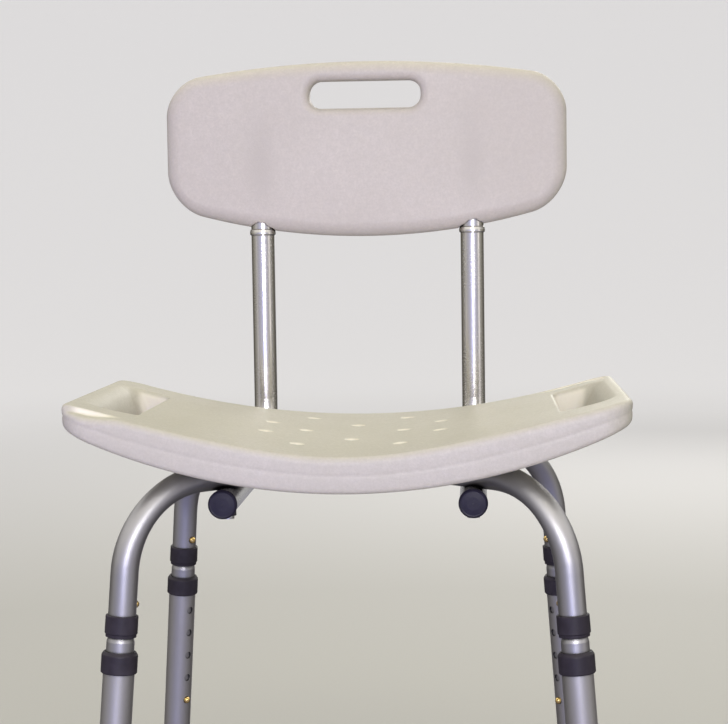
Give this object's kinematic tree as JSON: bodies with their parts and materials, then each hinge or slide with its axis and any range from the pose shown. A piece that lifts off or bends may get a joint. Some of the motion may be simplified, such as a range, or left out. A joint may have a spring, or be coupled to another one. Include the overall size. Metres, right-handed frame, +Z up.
{
  "type": "shower chair",
  "caption": "Shower chair with a curved moulded seat, hand grips, drain holes, a moulded backrest on bent tubes and telescoping aluminium legs.",
  "frame": {"origin": "on the floor, under the middle of the whole chair", "axes": "+Z up, +Y towards the backrest, +X to the right of a person who faces the chair"},
  "size_m": [0.517, 0.4541, 0.7865],
  "materials": {
    "seat_plastic": "satin",
    "backrest_plastic": "satin",
    "frame_aluminium": "satin",
    "back_tube_aluminium": "satin",
    "leg_aluminium": "satin",
    "collar_plastic": "matte",
    "plug_plastic": "satin",
    "tip_rubber": "matte",
    "button_brass": "polished",
    "spring_steel": "satin",
    "fastener_steel": "zinc plated",
    "washer_plastic": "matte",
    "insert_brass": "machined"
  },
  "bodies": {
    "chair": {"seat": "seat_plastic", "backrest": "backrest_plastic", "cross_tube_upper": "frame_aluminium", "cross_tube_lower": "frame_aluminium", "center_bolt": "fastener_steel", "center_nut": "fastener_steel", "seat_bolts": "fastener_steel", "saddle_washers": "washer_plastic", "seat_inserts": "insert_brass", "backrest_screws": "fastener_steel", "upper_springs": "spring_steel", "lower_springs": "spring_steel", "back_tube_left": "back_tube_aluminium", "back_tube_plug_left": "plug_plastic", "back_tube_right": "back_tube_aluminium", "back_tube_plug_right": "plug_plastic", "leg_insert_front_left": "leg_aluminium", "upper_collar_front_left": "collar_plastic", "leg_insert_front_right": "leg_aluminium", "upper_collar_front_right": "collar_plastic", "leg_insert_rear_left": "leg_aluminium", "upper_collar_rear_left": "collar_plastic", "leg_insert_rear_right": "leg_aluminium", "upper_collar_rear_right": "collar_plastic"},
    "leg_front_left": {"lower_tube_front_left": "leg_aluminium", "lower_collar_front_left": "collar_plastic", "foot_tip_front_left": "tip_rubber", "tip_washer_front_left": "spring_steel"},
    "upper_button_front_left": {"upper_button_front_left": "button_brass"},
    "lower_button_front_left": {"lower_button_front_left": "button_brass"},
    "leg_front_right": {"lower_tube_front_right": "leg_aluminium", "lower_collar_front_right": "collar_plastic", "foot_tip_front_right": "tip_rubber", "tip_washer_front_right": "spring_steel"},
    "upper_button_front_right": {"upper_button_front_right": "button_brass"},
    "lower_button_front_right": {"lower_button_front_right": "button_brass"},
    "leg_rear_left": {"lower_tube_rear_left": "leg_aluminium", "lower_collar_rear_left": "collar_plastic", "foot_tip_rear_left": "tip_rubber", "tip_washer_rear_left": "spring_steel"},
    "upper_button_rear_left": {"upper_button_rear_left": "button_brass"},
    "lower_button_rear_left": {"lower_button_rear_left": "button_brass"},
    "leg_rear_right": {"lower_tube_rear_right": "leg_aluminium", "lower_collar_rear_right": "collar_plastic", "foot_tip_rear_right": "tip_rubber", "tip_washer_rear_right": "spring_steel"},
    "upper_button_rear_right": {"upper_button_rear_right": "button_brass"},
    "lower_button_rear_right": {"lower_button_rear_right": "button_brass"}
  },
  "joints": [
    {"name": "leg_extend_front_left", "type": "slide", "parent": "chair", "child": "leg_front_left", "axis": [-0.0718, -0.0617, -0.9955], "range_m": [0, 0.1016], "deforming": ["lower_button_front_left"]},
    {"name": "upper_button_press_front_left", "type": "slide", "parent": "chair", "child": "upper_button_front_left", "axis": [-0.7549, -0.649, 0.0946], "range_m": [0, 0.0056], "stiffness_N_per_m": 900, "deforming": ["upper_springs"]},
    {"name": "lower_button_press_front_left", "type": "slide", "parent": "chair", "child": "lower_button_front_left", "axis": [-0.7549, -0.649, 0.0946], "range_m": [0, 0.0056], "stiffness_N_per_m": 900, "deforming": ["lower_springs"]},
    {"name": "leg_extend_front_right", "type": "slide", "parent": "chair", "child": "leg_front_right", "axis": [0.0718, -0.0617, -0.9955], "range_m": [0, 0.1016], "deforming": ["lower_button_front_right"]},
    {"name": "upper_button_press_front_right", "type": "slide", "parent": "chair", "child": "upper_button_front_right", "axis": [0.7549, -0.649, 0.0946], "range_m": [0, 0.0056], "stiffness_N_per_m": 900, "deforming": ["upper_springs"]},
    {"name": "lower_button_press_front_right", "type": "slide", "parent": "chair", "child": "lower_button_front_right", "axis": [0.7549, -0.649, 0.0946], "range_m": [0, 0.0056], "stiffness_N_per_m": 900, "deforming": ["lower_springs"]},
    {"name": "leg_extend_rear_left", "type": "slide", "parent": "chair", "child": "leg_rear_left", "axis": [-0.0718, 0.0617, -0.9955], "range_m": [0, 0.1016], "deforming": ["lower_button_rear_left"]},
    {"name": "upper_button_press_rear_left", "type": "slide", "parent": "chair", "child": "upper_button_rear_left", "axis": [-0.7549, 0.649, 0.0946], "range_m": [0, 0.0056], "stiffness_N_per_m": 900, "deforming": ["upper_springs"]},
    {"name": "lower_button_press_rear_left", "type": "slide", "parent": "chair", "child": "lower_button_rear_left", "axis": [-0.7549, 0.649, 0.0946], "range_m": [0, 0.0056], "stiffness_N_per_m": 900, "deforming": ["lower_springs"]},
    {"name": "leg_extend_rear_right", "type": "slide", "parent": "chair", "child": "leg_rear_right", "axis": [0.0718, 0.0617, -0.9955], "range_m": [0, 0.1016], "deforming": ["lower_button_rear_right"]},
    {"name": "upper_button_press_rear_right", "type": "slide", "parent": "chair", "child": "upper_button_rear_right", "axis": [0.7549, 0.649, 0.0946], "range_m": [0, 0.0056], "stiffness_N_per_m": 900, "deforming": ["upper_springs"]},
    {"name": "lower_button_press_rear_right", "type": "slide", "parent": "chair", "child": "lower_button_rear_right", "axis": [0.7549, 0.649, 0.0946], "range_m": [0, 0.0056], "stiffness_N_per_m": 900, "deforming": ["lower_springs"]}
  ]
}
